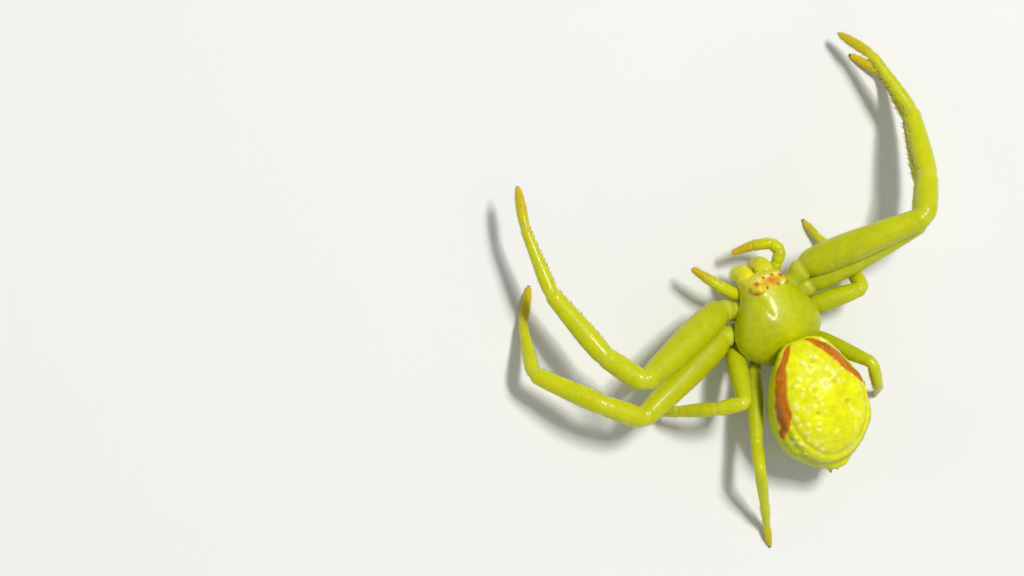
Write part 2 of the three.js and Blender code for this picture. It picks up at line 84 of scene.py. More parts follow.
ABDOMEN_FRONT_Y = 1.07
ABDOMEN_TURN = math.radians(3)
ABDOMEN_SHIFT_X = -0.02
ABDOMEN_WAIST = 0.53        # where a section is widest, as a share of its height
ABDOMEN_SQUARE = 0.9
ABDOMEN_SECTIONS = np.array([
    # back, half width, top, bottom
    (0.0, 0.5, 3.38, 3.06),
    (0.14, 0.84, 3.66, 2.98),
    (0.45, 1.14, 3.9, 2.8),
    (0.9, 1.42, 4.1, 2.0),
    (1.57, 1.75, 4.26, 1.34),
    (2.37, 1.97, 4.3, 1.02),
    (3.07, 1.99, 4.17, 0.95),
    (3.77, 1.82, 3.87, 1.02),
    (4.37, 1.4, 3.43, 1.22),
    (4.77, 0.91, 2.99, 1.5),
    (4.99, 0.5, 2.66, 1.78),
    (5.17, 0.3, 2.46, 1.98),
])

# Each table gives radii along a segment: share of its length, millimetres.
FEMUR = [(0, 0.45), (0.06, 0.55), (0.18, 0.61), (0.4, 0.605), (0.68, 0.53), (0.88, 0.45), (1, 0.41)]
PATELLA = [(0, 0.42), (0.5, 0.45), (1, 0.4)]
TIBIA = [(0, 0.4), (0.3, 0.43), (0.7, 0.38), (1, 0.32)]
METATARSUS = [(0, 0.29), (0.3, 0.28), (0.75, 0.22), (1, 0.2)]
TARSUS = [(0, 0.19), (0.4, 0.21), (0.8, 0.18), (1, 0.12)]
COXA = [(0, 0.25), (0.35, 0.36), (0.56, 0.39), (0.64, 0.35), (0.8, 0.43), (1, 0.43)]
LEG_FLATTEN = 0.9
PAIR_STOUT = {1: 1.0, 2: 0.96, 3: 0.67, 4: 0.56}
PAIR_TIP_STOUT = {1: 1.0, 2: 0.96, 3: 0.78, 4: 0.72}
REAR_HIP_STOUT = 1.15       # the coxae of the two rear pairs against the rest of those legs
FOOT_SINK = 0.05            # how far a toe's underside would pass the floor before it is pressed flat

# A segment's heading is 0 forward and 90 to the spider's left. A slope of None brings the toe to the floor.
LEGS = [
    dict(name="leg_1_left", pair=1, coxa=(0.68, -0.66, 1.3), root=(1.8, -1.2, 2.0),
         lengths=(4.85, 1.8, 3.15, 2.7, 1.5), heading=(105, 29, 14, -4, -18),
         slope=(16, -14, -7, -2, -8)),
    dict(name="leg_1_right", pair=1, coxa=(-0.68, -0.66, 1.3), root=(-2.02, -1.36, 2.1),
         lengths=(5.1, 1.8, 3.15, 2.7, 1.5), heading=(-93, -37, -23, 8, 24),
         slope=(23, -19, -26, -7, -29)),
    dict(name="leg_2_left", pair=2, coxa=(0.78, -0.1, 1.25), root=(2.15, -0.2, 1.78),
         lengths=(4.8, 1.7, 3.0, 2.5, 1.45), heading=(108, 49, 38, -25, -39),
         slope=(8, 10, -20, -33, None)),
    dict(name="leg_2_right", pair=2, coxa=(-0.78, -0.1, 1.25), root=(-2.12, -0.7, 1.6),
         lengths=(4.97, 1.7, 2.9, 2.38, 1.45), heading=(-87, -37, -22, -9, 34),
         slope=(17, -18, -19, -30, None)),
    dict(name="leg_3_left", pair=3, coxa=(0.76, 0.44, 1.22), root=(1.88, 0.5, 1.5),
         lengths=(2.6, 1.1, 1.6, 1.05, 0.8), heading=(153, 76, 65, 60, 105),
         slope=(35, -21, -43, -60, None)),
    dict(name="leg_3_right", pair=3, coxa=(-0.76, 0.44, 1.22), root=(-1.8, 0.18, 1.36),
         lengths=(2.2, 0.95, 1.35, 0.8, 0.8), heading=(-96, -10, 5, 15, 10),
         slope=(19, -38, -35, -30, None)),
    dict(name="leg_4_left", pair=4, coxa=(0.56, 0.92, 1.22), root=(1.4, 1.42, 1.42),
         lengths=(3.1, 1.15, 1.8, 1.2, 0.9), heading=(151, 154, 181, 182, 172),
         slope=(14, 22, -44, -48, None)),
    dict(name="leg_4_right", pair=4, coxa=(-0.56, 0.92, 1.22), root=(-1.4, 1.3, 1.5),
         lengths=(2.95, 1.15, 1.5, 0.78, 0.8), heading=(-153, -175, -105, -114, -159),
         slope=(47, -39, -69, -70, None)),
]
CLAW_LENGTH = 0.17
CLAW_RADIUS = 0.035

PALP = [(0, 0.2), (0.2, 0.24), (0.5, 0.245), (0.8, 0.21), (1, 0.12)]
PALPS = [
    ("palp_left", [(0.66, -1.3, 1.5), (0.89, -1.48, 1.75), (1.44, -2.1, 1.9), (2.02, -3.03, 1.75)]),
    ("palp_right", [(-0.8, -1.5, 1.5), (-1.2, -1.94, 1.75), (-1.5, -2.3, 1.9),
                    (-1.3, -2.71, 1.8), (-0.62, -2.93, 1.6), (0.1, -2.98, 1.4)]),
]

EYES = [
    # name, place across, place along, radius
    ("eye_front_middle", 0.19, -1.62, 0.06),
    ("eye_rear_middle", 0.24, -1.22, 0.052),
    ("eye_front_side", 0.54, -1.5, 0.075),
    ("eye_rear_side", 0.68, -1.16, 0.062),
]

JAW = [
    [(0, 0.39), (0.55, 0.4), (1, 0.38)],
    [(0, 0.38), (0.5, 0.385), (1, 0.37)],
    [(0, 0.36), (0.5, 0.32), (0.85, 0.24), (1, 0.15)],
]
LIP = [(0, 0.2), (0.5, 0.22), (1, 0.12)]
MOUTH_LOBE = [(0, 0.14), (0.35, 0.2), (0.75, 0.18), (1, 0.09)]
WAIST = [(0, 0.3), (0.5, 0.26), (1, 0.3)]
STERNUM_FRONT = -0.92
STERNUM_REAR = 1.25
STERNUM_HALF = 0.6
STERNUM_LOW = 0.98
STERNUM_HIGH = 1.6
SPINNERET = [(0, 0.13), (0.6, 0.12), (0.9, 0.08), (1, 0.04)]
SPINNERET_SPOTS = [(0.12, 0.0, 0.5), (-0.12, 0.0, 0.5), (0.1, -0.14, 0.42), (-0.1, -0.14, 0.42)]
SPINNERETS_BACK = 4.74      # from the abdomen's front end
SPINNERETS_Z = 1.78

# Sizes of the skins alone

CARAPACE_SIDES = 220
CARAPACE_RINGS = 190
FACE_CAP = ((0.05, 0.055), (0.45, 0.05), (0.75, 0.035), (0.92, 0.018))  # share of the first ring, forward
ABDOMEN_SIDES = 220
ABDOMEN_RINGS = 230
DIMPLES = ((0.9, 90), (1.96, 78), (1.96, 102), (2.9, 73), (2.9, 107))   # back, degrees round
KNOBS = 105
FANG = [[(0, 0.075), (1, 0.06)], [(0, 0.06), (1, 0.015)]]
STERNUM_SIDES = 48
STERNUM_RINGS = 60
CORNER_SHARE = 0.42         # the most of a segment that a rounded knee takes
TIP_RINGS = 6
TIP_BLUNT = 0.9             # length of a limb's round end over its radius
LEG_CLEAR = 0.004           # lowest point over the floor
CLAW_CLEAR = 0.003
HAIR_CLEAR = 0.002
SPINE_COUNTS = ((3, 12), (4, 13))   # segment, spines in each row
SPINE_TILTS = (16, -20, -56)        # degrees from a front leg's inner side
LEG_HAIRS = {1: 420, 2: 420, 3: 200, 4: 200}
PALP_HAIRS = 170
ABDOMEN_HAIRS = 420
FACE_HAIRS = 80
HAIR_PATCH = 0.003          # size of one hair on its unwrap

# Colours, linear

LEG_GREEN = np.array((0.46, 0.495, 0.0005))
LEG_YELLOW = np.array((0.57, 0.59, 0.001))
FOOT_ORANGE = np.array((0.62, 0.42, 0.005))
JOINT_PALE = np.array((0.60, 0.62, 0.05))
SPINE_DOT = np.array((0.22, 0.09, 0.006))
SHELL_GREEN = np.array((0.47, 0.505, 0.0005))
SHELL_PALE = np.array((0.62, 0.645, 0.003))
FACE_YELLOW = np.array((0.80, 0.68, 0.02))
FACE_ORANGE = np.array((0.72, 0.26, 0.006))
FACE_BROWN = np.array((0.26, 0.10, 0.008))
BACK_YELLOW = np.array((0.79, 0.79, 0.002))
BACK_PALE = np.array((0.97, 0.97, 0.38))
FLANK_GREEN = np.array((0.50, 0.57, 0.003))
BAND_ORANGE = np.array((0.56, 0.12, 0.0))
BAND_DARK = np.array((0.20, 0.03, 0.001))
BELLY = np.array((0.50, 0.52, 0.04))

rng = np.random.default_rng(7)


# Small helpers

def power(value, exponent):
    return np.sign(value) * np.abs(value) ** exponent


def step_up(edge0, edge1, value):
    """Smooth rise from 0 at edge0 to 1 at edge1, which may be the lower of the two."""
    t = np.clip((value - edge0) / (edge1 - edge0), 0, 1)
    return t * t * (3 - 2 * t)


def mix(a, b, weight):
    weight = np.asarray(weight)[..., None]
    return a * (1 - weight) + b * weight


def unit(v):
    return v / np.maximum(np.linalg.norm(v, axis=-1, keepdims=True), 1e-12)


def spot(x, y, cx, cy, sx, sy=None):
    sy = sx if sy is None else sy
    return np.exp(-((x - cx) / sx) ** 2 - ((y - cy) / sy) ** 2)


def curve(sections, column, at):
    """Smooth curve through one column of a table of sections."""
    x, y = sections[:, 0], sections[:, column]
    slope = np.empty(len(x))
    slope[1:-1] = (y[2:] - y[:-2]) / (x[2:] - x[:-2])
    slope[0] = (y[1] - y[0]) / (x[1] - x[0])
    slope[-1] = (y[-1] - y[-2]) / (x[-1] - x[-2])
    i = np.clip(np.searchsorted(x, at, side="left") - 1, 0, len(x) - 2)
    width = x[i + 1] - x[i]
    t = (at - x[i]) / width
    return (y[i] * (2 * t ** 3 - 3 * t ** 2 + 1) + slope[i] * width * (t ** 3 - 2 * t ** 2 + t)
            + y[i + 1] * (3 * t ** 2 - 2 * t ** 3) + slope[i + 1] * width * (t ** 3 - t ** 2))


def wavy(points, scale, seed):
    """Smooth noise between about -1 and 1, made from a few crossed waves."""
    local = np.random.default_rng(seed)
    total = np.zeros(points.shape[:-1])
    for _ in range(7):
        way = unit(local.normal(size=3))
        total += np.sin(points @ way * scale * local.uniform(0.6, 1.6) + local.uniform(0, 6.28))
    return total / 3.2


def new_mesh(name, points, faces, material, slot, colours=None, uvs=None):
    """A piece of the spider from points in millimetres; uvs are given per face corner."""
    mesh = bpy.data.meshes.new(name)
    world = (np.asarray(points, float) + SHIFT) * MM
    mesh.from_pydata(world.tolist(), [], [list(map(int, f)) for f in faces])
    mesh.update()
    if colours is not None:
        layer = mesh.color_attributes.new("paint", "FLOAT_COLOR", "POINT")
        rgba = np.ones((len(world), 4))
        rgba[:, :3] = np.clip(colours, 0, 1)
        layer.data.foreach_set("color", rgba.ravel())
    if uvs is not None:
        layer = mesh.uv_layers.new(name="OFBake")
        layer.data.foreach_set("uv", np.asarray(uvs, float).ravel())
    mesh.polygons.foreach_set("use_smooth", [True] * len(mesh.polygons))
    mesh.materials.append(material)
    piece = bpy.data.objects.new(name, mesh)
    bpy.context.scene.collection.objects.link(piece)
    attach(piece, "root")
    return piece


def closed_rings(rings):
    """Points and faces of a body through rings, each end drawn together to its middle."""
    count, sides = rings.shape[:2]
    points = rings.reshape(-1, 3)
    faces = []
    for a in range(0, (count - 1) * sides, sides):
        for k in range(sides):
            n = (k + 1) % sides
            faces.append((a + k, a + n, a + sides + n, a + sides + k))
    for end, flip in ((0, True), (count - 1, False)):
        middle = len(points)
        points = np.vstack([points, rings[end].mean(axis=0)])
        for k in range(sides):
            a, b = end * sides + k, end * sides + (k + 1) % sides
            faces.append((b, a, middle) if flip else (a, b, middle))
    return points, faces


# Materials

def cuticle(name, roughness, grain_size, grain_depth, glow=0.25, coat=0.25, colour=None, mottle=0.12,
            mottle_size=0.25):
    """Waxy skin with mottling, fine grain and light under the surface; with no colour it shows its paint."""
    material = bpy.data.materials.new(name)
    material.use_nodes = True
    tree = material.node_tree
    nodes, links = tree.nodes, tree.links
    shader = nodes["Principled BSDF"]
    place = nodes.new("ShaderNodeTexCoord")

    def noise(size, detail):
        node = nodes.new("ShaderNodeTexNoise")
        node.inputs["Scale"].default_value = 1.0 / (size * MM)
        node.inputs["Detail"].default_value = detail
        node.inputs["Roughness"].default_value = 0.55
        links.new(place.outputs["Object"], node.inputs["Vector"])
        return node.outputs["Fac"]

    def bump(strength, depth, height):
        node = nodes.new("ShaderNodeBump")
        node.inputs["Strength"].default_value = strength
        node.inputs["Distance"].default_value = depth * MM
        links.new(height, node.inputs["Height"])
        return node

    tone = nodes.new("ShaderNodeMapRange")
    tone.inputs["From Min"].default_value = 0.3
    tone.inputs["From Max"].default_value = 0.7
    tone.inputs["To Min"].default_value = 1.0 - mottle
    tone.inputs["To Max"].default_value = 1.0 + mottle
    links.new(noise(mottle_size, 4), tone.inputs["Value"])
    shade = nodes.new("ShaderNodeVectorMath")
    shade.operation = "SCALE"
    if colour is None:
        paint = nodes.new("ShaderNodeAttribute")
        paint.attribute_name = "paint"
        links.new(paint.outputs["Color"], shade.inputs[0])
    else:
        shade.inputs[0].default_value = colour
    links.new(tone.outputs["Result"], shade.inputs["Scale"])
    links.new(shade.outputs["Vector"], shader.inputs["Base Color"])

    wear = nodes.new("ShaderNodeMapRange")
    wear.inputs["To Min"].default_value = max(0.05, roughness - 0.1)
    wear.inputs["To Max"].default_value = roughness + 0.12
    links.new(noise(mottle_size * 0.5, 3), wear.inputs["Value"])
    links.new(wear.outputs["Result"], shader.inputs["Roughness"])

    cells = nodes.new("ShaderNodeTexVoronoi")
    cells.inputs["Scale"].default_value = 1.0 / (grain_size * MM)
    links.new(place.outputs["Object"], cells.inputs["Vector"])
    fine = bump(0.5, grain_depth, cells.outputs["Distance"])
    soft = bump(0.6, grain_depth * 2.2, noise(grain_size * 2.6, 3))
    links.new(fine.outputs["Normal"], soft.inputs["Normal"])
    links.new(soft.outputs["Normal"], shader.inputs["Normal"])

    shader.inputs["Subsurface Weight"].default_value = glow
    shader.inputs["Subsurface Radius"].default_value = (1.0, 0.8, 0.15)
    shader.inputs["Subsurface Scale"].default_value = 0.3 * MM
    shader.inputs["Coat Weight"].default_value = coat
    shader.inputs["Specular IOR Level"].default_value = 0.2
    shader.inputs["Coat Roughness"].default_value = 0.16
    return material


skin_legs = cuticle("leg_cuticle", 0.3, 0.05, 0.017, mottle=0.06, mottle_size=0.45)
skin_shell = cuticle("shell_cuticle", 0.34, 0.06, 0.012, mottle=0.07, mottle_size=0.3)
skin_abdomen = cuticle("abdomen_skin", 0.36, 0.07, 0.014, mottle=0.1, mottle_size=0.2, coat=0.15)
skin_soft = cuticle("jaw_cuticle", 0.4, 0.06, 0.006)
claw_horn = cuticle("claw_horn", 0.3, 0.05, 0.003, glow=0.1, colour=(0.06, 0.025, 0.01))
bristle_pale = cuticle("pale_bristle", 0.45, 0.05, 0.002, glow=0.1, coat=0.0, colour=(0.62, 0.55, 0.16))
bristle_dark = cuticle("dark_spine", 0.35, 0.05, 0.002, glow=0.1, coat=0.1, colour=(0.24, 0.09, 0.02))
eye_glass = cuticle("eye_lens", 0.08, 0.2, 0.0005, glow=0.0, coat=1.0, colour=(0.42, 0.14, 0.012),
                    mottle=0.3, mottle_size=0.08)


# Limbs

def direction(heading, slope):
    h, s = math.radians(heading), math.radians(slope)
    return np.array((math.sin(h) * math.cos(s), -math.cos(h) * math.cos(s), math.sin(s)))


def leg_joints(leg):
    """Points from where the coxa starts to the toe."""
    points = [np.array(leg["coxa"], float), np.array(leg["root"], float)]
    toe_z = TARSUS[-1][1] * PAIR_TIP_STOUT[leg["pair"]] - FOOT_SINK
    for length, heading, slope in zip(leg["lengths"], leg["heading"], leg["slope"]):
        if slope is None:
            slope = math.degrees(math.asin((toe_z - points[-1][2]) / length))
        points.append(points[-1] + direction(heading, slope) * length)
    return np.array(points)


def rounded_path(joints, reach, step):
    """Centre line with rounded corners, and how far along the straight chain each point lies."""
    spans = np.diff(joints, axis=0)
    lengths = np.linalg.norm(spans, axis=1)
    dirs = spans / lengths[:, None]
    start = np.concatenate([[0.0], np.cumsum(lengths)])
    shorter = np.minimum(lengths[:-1], lengths[1:])
    cut = [0.0, *np.minimum(reach, CORNER_SHARE * shorter), 0.0]
    points, along = [], []
    for i, length in enumerate(lengths):
        a, b = cut[i], length - cut[i + 1]
        for s in np.linspace(a, b, max(2, int((b - a) / step) + 1))[:-1]:
            points.append(joints[i] + dirs[i] * s)
            along.append(start[i] + s)
        if i + 1 < len(lengths):
            c = cut[i + 1]
            p0, p1, p2 = joints[i + 1] - dirs[i] * c, joints[i + 1], joints[i + 1] + dirs[i + 1] * c
            for t in np.linspace(0, 1, max(4, int(2 * c / step) + 1))[:-1]:
                points.append(p0 * (1 - t) ** 2 + 2 * p1 * t * (1 - t) + p2 * t * t)
                along.append(start[i + 1] + c * (2 * t - 1))
    points.append(joints[-1])
    along.append(start[-1])
    return np.array(points), np.array(along), start


def segment_radii(along, start, tables, soften):
    """Radius along a limb from one table per segment, softened a little."""
    s, r = [], []
    for i, table in enumerate(tables):
        for t, radius in table:
            s.append(start[i] + (start[i + 1] - start[i]) * t)
            r.append(radius)
    grid = np.linspace(0, start[-1], 1600)
    raw = np.interp(grid, s, r)
    width = max(1, int(soften / (grid[1] - grid[0])))
    kernel = np.hanning(2 * width + 3)
    padded = np.pad(raw, width + 1, mode="edge")
    return np.interp(along, grid, np.convolve(padded, kernel / kernel.sum(), mode="valid"))


def tube(joints, tables, sides=40, step=0.05, reach=0.3, soften=0.12, flatten=LEG_FLATTEN,
         necks=(), neck_width=0.1, lips=0.0):
    """Rings of a limb. necks says how much each inner joint is drawn in, lips how much swells before it."""
    centre, along, start = rounded_path(np.array(joints, float), reach, step)
    radius = segment_radii(along, start, tables, soften)
    for i, neck in enumerate(necks):
        gap = along - start[i + 1]
        radius = radius * (1 - neck * np.exp(-(gap / neck_width) ** 2))
        radius = radius * (1 + lips * np.exp(-((gap + 2.1 * neck_width) / neck_width) ** 2))
    tangent = unit(np.gradient(centre, axis=0))
    side = unit(np.cross(tangent, (0, 0, 1.0)))
    up = np.cross(side, tangent)

    tip = radius[-1]
    ends = np.linspace(0, math.pi / 2, TIP_RINGS + 1)[1:]
    beyond = np.sin(ends) * tip * TIP_BLUNT
    centre = np.vstack([centre, centre[-1] + np.outer(beyond, tangent[-1])])
    radius = np.concatenate([radius, tip * np.maximum(np.cos(ends), 0.04)])
    along = np.concatenate([along, along[-1] + beyond])
    side, up, tangent = (np.vstack([rows, np.repeat(rows[-1:], TIP_RINGS, axis=0)])
                         for rows in (side, up, tangent))

    angle = np.linspace(0, 2 * math.pi, sides, endpoint=False)
    out = (np.cos(angle)[None, :, None] * side[:, None, :]
           + np.sin(angle)[None, :, None] * flatten * up[:, None, :])
    rings = centre[:, None, :] + out * radius[:, None, None]
    return dict(rings=rings, along=along, start=start, radius=radius, angle=angle, tangent=tangent,
                out=unit(out))


# Legs

def leg_tables(pair):
    stout, tip = PAIR_STOUT[pair], PAIR_TIP_STOUT[pair]
    hip = stout if pair < 3 else stout * REAR_HIP_STOUT

    def times(table, factor):
        return [(t, r * factor) for t, r in table]

    return [times(COXA, hip), times(FEMUR, stout), times(PATELLA, stout), times(TIBIA, stout),
            times(METATARSUS, tip), times(TARSUS, tip)]


def leg_paint(skin, pair):
    """Green femur, yellow shin and orange toe, paler at every joint, with painted shade that makes the
    underside darker and greener.
    """
    along, start, rings = skin["along"], skin["start"], skin["rings"]
    around = np.ones(rings.shape[1])
    toe_start = start[4] + 0.6 * (start[5] - start[4])
    colour = mix(LEG_GREEN, LEG_YELLOW, step_up(start[1], start[3], along))
    colour = mix(colour, FOOT_ORANGE, 0.75 * step_up(toe_start, start[6], along))
    colour = np.repeat(colour[:, None, :], rings.shape[1], axis=1)
    for joint in start[1:-1]:
        near = np.exp(-((along - joint) / (0.13 if pair < 3 else 0.09)) ** 2)
        colour = mix(colour, JOINT_PALE, 0.4 * near[:, None] * around)
    hip = step_up(start[1] + 0.12, start[1] - 0.05, along)[:, None] * around
    colour = mix(colour, JOINT_PALE, 0.5 * hip)
    # Painted shade: the downward side of the leg is mixed towards a darker green.
    lower = np.clip(-np.sin(skin["angle"]), 0, 1)[None, :] * np.ones((len(along), 1))
    colour = mix(colour, LEG_GREEN * 0.85, 0.35 * lower)
    return colour * (1 + 0.03 * wavy(rings, 2.2, 31 + pair))[..., None]


def spine_rows(leg, skin):
    """Places along and round a front leg where its spines grow, and their lengths."""
    inner, turn = (180.0, -1.0) if leg["name"].endswith("right") else (0.0, 1.0)
    places = []
    for segment, count in SPINE_COUNTS:
        first, last = skin["start"][segment], skin["start"][segment + 1]
        for k in range(count):
            s = first + (last - first) * (0.1 + 0.84 * k / (count - 1))
            for tilt in SPINE_TILTS:
                place = s + rng.uniform(-0.06, 0.06)
                degrees = inner + turn * (tilt + rng.uniform(-9, 9))
                length = rng.uniform(0.11, 0.19) if tilt < 0 else rng.uniform(0.07, 0.11)
                places.append((place, degrees, length))
    return places


def dot_paint(colours, skin, places):
    """A small brown dot on the skin at the root of each spine."""
    for s, degrees, _ in places:
        i = int(np.argmin(np.abs(skin["along"] - s)))
        k = int(round(degrees % 360 / 360 * len(skin["angle"]))) % len(skin["angle"])
        near = slice(max(0, i - 4), i + 5)
        away = np.linalg.norm(skin["rings"][near] - skin["rings"][i, k], axis=-1)
        colours[near] = mix(colours[near], SPINE_DOT, 0.9 * np.exp(-(away / 0.042) ** 2))
    return colours


def build_leg(leg):
    """One skin over a whole leg. Gives the skin's rings and the places of its spines."""
    front = leg["pair"] < 3
    skin = tube(
        leg_joints(leg), leg_tables(leg["pair"]),
        sides=44 if front else 32, step=0.05 if front else 0.035,
        reach=0.42 if front else 0.24, soften=0.14 if front else 0.08,
        necks=(0.06, 0.05, 0.06, 0.1, 0.08), neck_width=0.1 if front else 0.06, lips=0.035,
    )
    rings = skin["rings"]
    swell = 0.012 * wavy(rings, 3.0, 11 + leg["pair"]) * skin["radius"][:, None]
    rings += skin["out"] * swell[..., None]
    rings[..., 2] = np.maximum(rings[..., 2], LEG_CLEAR)
    colours = leg_paint(skin, leg["pair"])
    places = spine_rows(leg, skin) if front else []
    colours = dot_paint(colours, skin, places).reshape(-1, 3)
    colours = np.vstack([colours, colours[0], colours[-1]])
    piece = new_mesh(leg["name"] + "_skin", *closed_rings(rings), skin_legs, "legs", colours)
    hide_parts(*[leg["name"] + "_" + part for part in ("coxa", "femur", "shin", "foot")])
    return skin, places


leg_skins, leg_spines = {}, {}
for leg in LEGS:
    leg_skins[leg["name"]], leg_spines[leg["name"]] = build_leg(leg)


# Carapace and face

def pose_head(points):
    """From the head's own frame, level and straight, into the spider's."""
    points = np.asarray(points, float)
    x, y, z = points[..., 0], points[..., 1], points[..., 2] - CARAPACE_RIM_Z
    c, s = math.cos(HEAD_ROLL), math.sin(HEAD_ROLL)
    x, z = x * c + z * s, z * c - x * s
    c, s = math.cos(HEAD_TURN), math.sin(HEAD_TURN)
    x, y = x * c - y * s, x * s + y * c
    return np.stack([x, y, z + CARAPACE_RIM_Z], axis=-1)


def eye_hills(x, y):
    rise = 0.0
    for side in (-1, 1):
        rise = rise + EYE_HILL_HEIGHT * spot(x, y, side * EYE_HILL_X, EYE_HILL_Y, EYE_HILL_SPREAD,
                                             1.5 * EYE_HILL_SPREAD)
    return rise


def shell_height(x, y):
    half, top, square = (curve(CARAPACE_SECTIONS, column, y) for column in (1, 2, 4))
    across = np.minimum(1, np.abs(x) / half)
    bow = (1 - across ** (2 / square)) ** (square / 2)
    return CARAPACE_RIM_Z + (top - CARAPACE_RIM_Z) * bow + eye_hills(x, y)


def brow_line(x, y, front, width):
    """A line across the face that bows back to both sides."""
    return np.exp(-((y - front - 0.22 * x * x) / width) ** 2)


def shell_detail(x, y):
    """The shell's middle pit, grooves beside the head, spokes, and the brow's ridge and furrow."""
    rise = -0.03 * spot(x, y, 0, 0.6, 0.09, 0.3)
    for side in (-1, 1):
        groove = 0.022 * np.exp(-((x - side * (0.5 - 0.3 * y)) / 0.14) ** 2)
        rise = rise - groove * step_up(0.1, -0.4, y) * step_up(-1.3, -0.9, y)
        for k in range(3):
            turn = math.radians(-4 + 30 * k)
            across = (x * side) * math.sin(turn) - (y - 0.35) * math.cos(turn)
            out = (x * side) * math.cos(turn) + (y - 0.35) * math.sin(turn)
            spoke = 0.014 * np.exp(-(across / 0.12) ** 2)
            rise = rise - spoke * step_up(0.4, 0.8, out) * step_up(1.6, 1.1, out)
    rise = rise + 0.05 * brow_line(x, y, -1.66, 0.07) * step_up(0.62, 0.4, np.abs(x))
    return rise - 0.03 * brow_line(x, y, -1.52, 0.06) * step_up(0.5, 0.3, np.abs(x))


def shell_paint(points, edge):
    """Green with a pale middle and rim, a yellow face, and orange and brown marks among the eyes."""
    x, y = points[..., 0], points[..., 1]
    light = np.exp(-(x / (0.5 + 0.24 * np.clip(-y, 0, 2))) ** 2)
    colour = np.broadcast_to(SHELL_GREEN, points.shape)
    colour = mix(colour, SHELL_PALE, 0.65 * light * step_up(1.5, 0.6, y))
    colour = mix(colour, SHELL_PALE, 0.75 * step_up(0.2, 0.05, edge))
    face = step_up(-1.0, -1.35, y) * step_up(1.05, 0.7, np.abs(x))
    colour = mix(colour, FACE_YELLOW, 0.8 * face)
    broken = 0.5 + 0.5 * wavy(points, 9.0, 5)
    specks = step_up(0.72, 1.0, 0.5 + 0.5 * wavy(points, 13.0, 6))
    orange = spot(x, y, -0.04, -1.42, 0.33, 0.19)
    colour = mix(colour, FACE_ORANGE, np.clip(1.5 * orange * (0.35 + 0.9 * broken), 0, 0.92))
    colour = mix(colour, FACE_BROWN, 0.55 * orange * specks)
    ridge = brow_line(x, y, -1.68, 0.05) * step_up(0.62, 0.45, np.abs(x))
    colour = mix(colour, BACK_PALE, 0.6 * ridge)
    for side in (-1, 1):
        hook = np.exp(-((np.hypot(x - side * EYE_HILL_X, y - EYE_HILL_Y) - 0.2) / 0.04) ** 2)
        behind = step_up(-0.05, 0.12, (x * side - EYE_HILL_X) + 0.8 * (y - EYE_HILL_Y))
        colour = mix(colour, FACE_BROWN, 0.7 * hook * behind)
        for _, ex, ey, er in EYES:
            ring = np.exp(-((np.hypot(x - side * ex, y - ey) - er * 1.2) / 0.035) ** 2)
            colour = mix(colour, FACE_ORANGE, 0.6 * ring)
        colour = mix(colour, FACE_BROWN, 0.85 * spot(x, y, side * 0.11, 0.1 - 0.05 * side, 0.028))
    return colour * (1 + 0.05 * wavy(points, 2.5, 9))[..., None]


def build_carapace():
    front, rear = CARAPACE_SECTIONS[0, 0], CARAPACE_SECTIONS[-1, 0]
    t = np.linspace(0, 1, CARAPACE_RINGS)
    ring_y = front + (rear - front) * (t - 0.11 * np.sin(2 * math.pi * t) / 2)
    turn = np.linspace(0, 2 * math.pi, CARAPACE_SIDES, endpoint=False)
    y, a = np.meshgrid(ring_y, turn, indexing="ij")
    half, top, bottom, square = (curve(CARAPACE_SECTIONS, column, y) for column in (1, 2, 3, 4))
    above = np.sin(a) > 0
    square = np.where(above, square, CARAPACE_UNDER_SQUARE)
    x = half * power(np.cos(a), square)
    lift = power(np.sin(a), square)
    z = CARAPACE_RIM_Z + np.where(above, top - CARAPACE_RIM_Z, CARAPACE_RIM_Z - bottom) * lift
    over = np.where(above, np.minimum(1, 3 * np.sin(a)), 0)
    z = z + over * (eye_hills(x, y) + shell_detail(x, y))
    points = np.stack([x, y, z], axis=-1)
    colours = shell_paint(points, np.abs(lift))

    middle = points[0].mean(axis=0)
    cap = [middle + (points[0] - middle) * share - np.array((0, forward, 0)) for share, forward in FACE_CAP]
    rings = pose_head(np.concatenate([cap, points]))
    colours = np.concatenate([[colours[0]] * len(cap), colours]).reshape(-1, 3)
    colours = np.vstack([colours, colours[0], colours[-1]])
    shell = new_mesh("carapace_skin", *closed_rings(rings), skin_shell, "shell", colours)
    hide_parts("carapace")


def build_eye(name, side_name, x, y, radius):
    z = float(shell_height(np.array(x), np.array(y))) - 0.1 * radius
    bpy.ops.mesh.primitive_uv_sphere_add(segments=40, ring_count=24, radius=radius * MM)
    ball = bpy.context.active_object
    ball.name = f"{name}_{side_name}_lens"
    ball.data.transform(Matrix.Translation(Vector((pose_head((x, y, z)) + SHIFT) * MM)))
    ball.data.polygons.foreach_set("use_smooth", [True] * len(ball.data.polygons))
    ball.data.materials.append(eye_glass)
    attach(ball, "root")
    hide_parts(f"{name}_{side_name}")


build_carapace()
for name, x, y, radius in EYES:
    build_eye(name, "left", x, y, radius)
    build_eye(name, "right", -x, y, radius)


# Abdomen

def abdomen_point(back, turn):
    half, top, bottom = (curve(ABDOMEN_SECTIONS, column, back) for column in (1, 2, 3))
    middle = bottom + ABDOMEN_WAIST * (top - bottom)
    s = np.sin(turn)
    reach = np.where(s > 0, top - middle, middle - bottom)
    return np.stack([half * power(np.cos(turn), ABDOMEN_SQUARE), back,
                     middle + reach * power(s, ABDOMEN_SQUARE)], axis=-1)


def place_abdomen(points):
    """From the abdomen's own frame, straight behind its front end, into the spider's."""
    c, s = math.cos(-ABDOMEN_TURN), math.sin(-ABDOMEN_TURN)
    x, y, z = points[..., 0], points[..., 1], points[..., 2]
    return np.stack([x * c - y * s + ABDOMEN_SHIFT_X, x * s + y * c + ABDOMEN_FRONT_Y, z], axis=-1)


